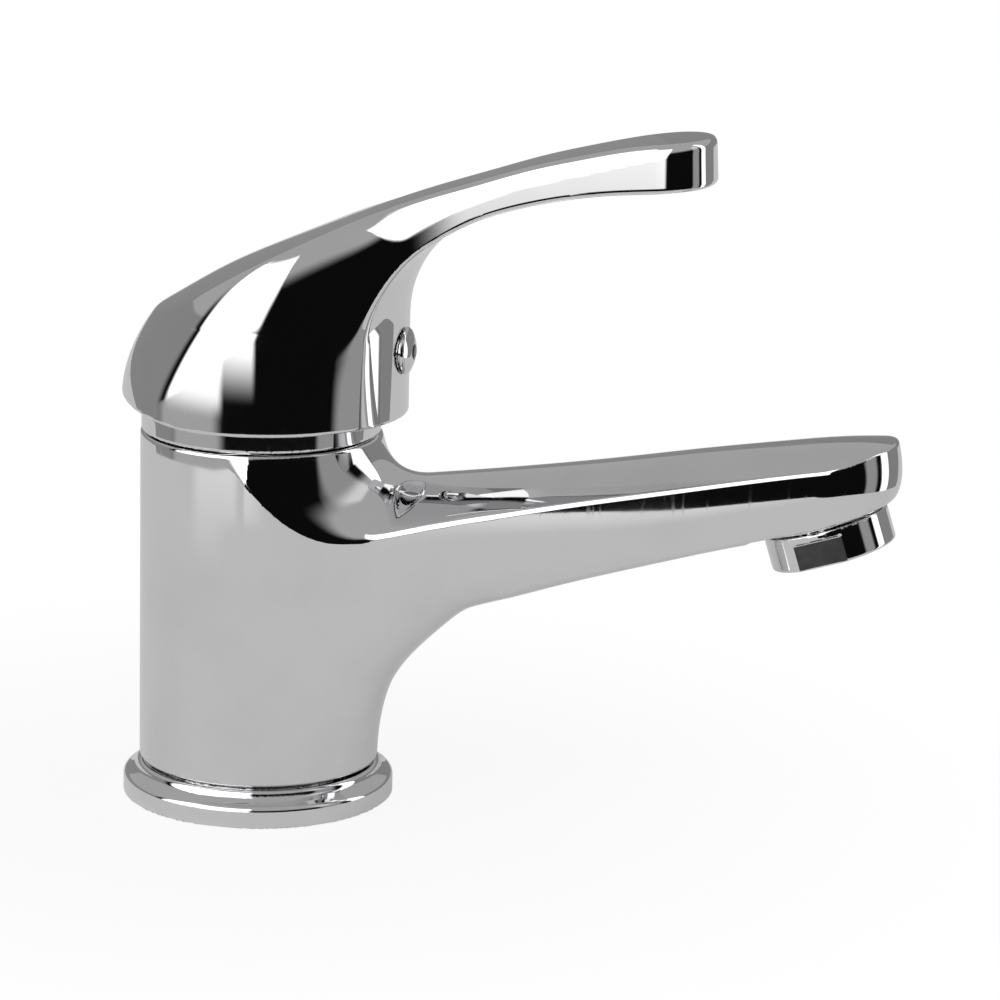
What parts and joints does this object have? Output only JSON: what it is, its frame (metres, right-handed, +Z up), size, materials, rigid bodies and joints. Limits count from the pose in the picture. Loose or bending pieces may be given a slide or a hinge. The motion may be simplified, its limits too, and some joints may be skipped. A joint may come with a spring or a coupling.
{
  "type": "single-lever basin mixer faucet",
  "caption": "Deck-mounted single-lever basin mixer with a round body, a low tapering spout, a tilted aerator and a looping lever handle.",
  "frame": {"origin": "on the body's axis at deck level, the middle of the face that meets the basin", "axes": "+Z up along the body's axis; +X along the spout, away from the body; +Y to the user's cold side"},
  "size_m": [0.1547, 0.0564, 0.1378],
  "materials": {
    "chrome": "polished chrome plate",
    "aerator_chrome": "polished chrome plate on brass",
    "brass": "turned, unplated",
    "steel": "bright steel",
    "acetal": "moulded natural acetal",
    "ceramic": "lapped alumina ceramic",
    "rubber": "matt moulded rubber",
    "dot_enamel": "dark glossy inlay"
  },
  "bodies": {
    "mixer_body": {"base_flange": "chrome", "base_gasket": "rubber", "base_oring": "rubber", "body": "chrome", "aerator_shell": "aerator_chrome", "aerator_core": "acetal", "aerator_screen": "steel", "aerator_washer": "rubber", "cartridge_base": "acetal", "inlet_seal_cold": "rubber", "inlet_seal_hot": "rubber", "outlet_seal": "rubber", "fixed_disc": "ceramic", "cartridge_housing": "acetal", "cartridge_nut": "brass", "cover_oring": "rubber", "cartridge_cover": "chrome"},
    "rotor": {"lever_rotor": "acetal", "lever_pin": "steel"},
    "lever": {"lever_stem": "brass", "handle": "chrome", "grub_screw": "steel", "index_plug": "chrome", "index_dot": "dot_enamel"},
    "disc": {"disc_carrier": "acetal", "moving_disc": "ceramic"}
  },
  "joints": [
    {"name": "lever_swivel", "type": "hinge", "parent": "mixer_body", "child": "rotor", "pos_m": [0, 0, 0.071], "axis": [0, 0, 1], "range_deg": [-45, 45]},
    {"name": "lever_tilt", "type": "hinge", "parent": "rotor", "child": "lever", "pos_m": [0, 0, 0.071], "axis": [0, -1, 0], "range_deg": [0, 24]},
    {"name": "disc_slide", "type": "slide", "parent": "rotor", "child": "disc", "axis": [1, 0, 0], "range_m": [0, 0.0052]}
  ],
  "couplings": [
    {"joint": "disc_slide", "follows": "lever_tilt", "m_per_rad": 0.0124}
  ]
}
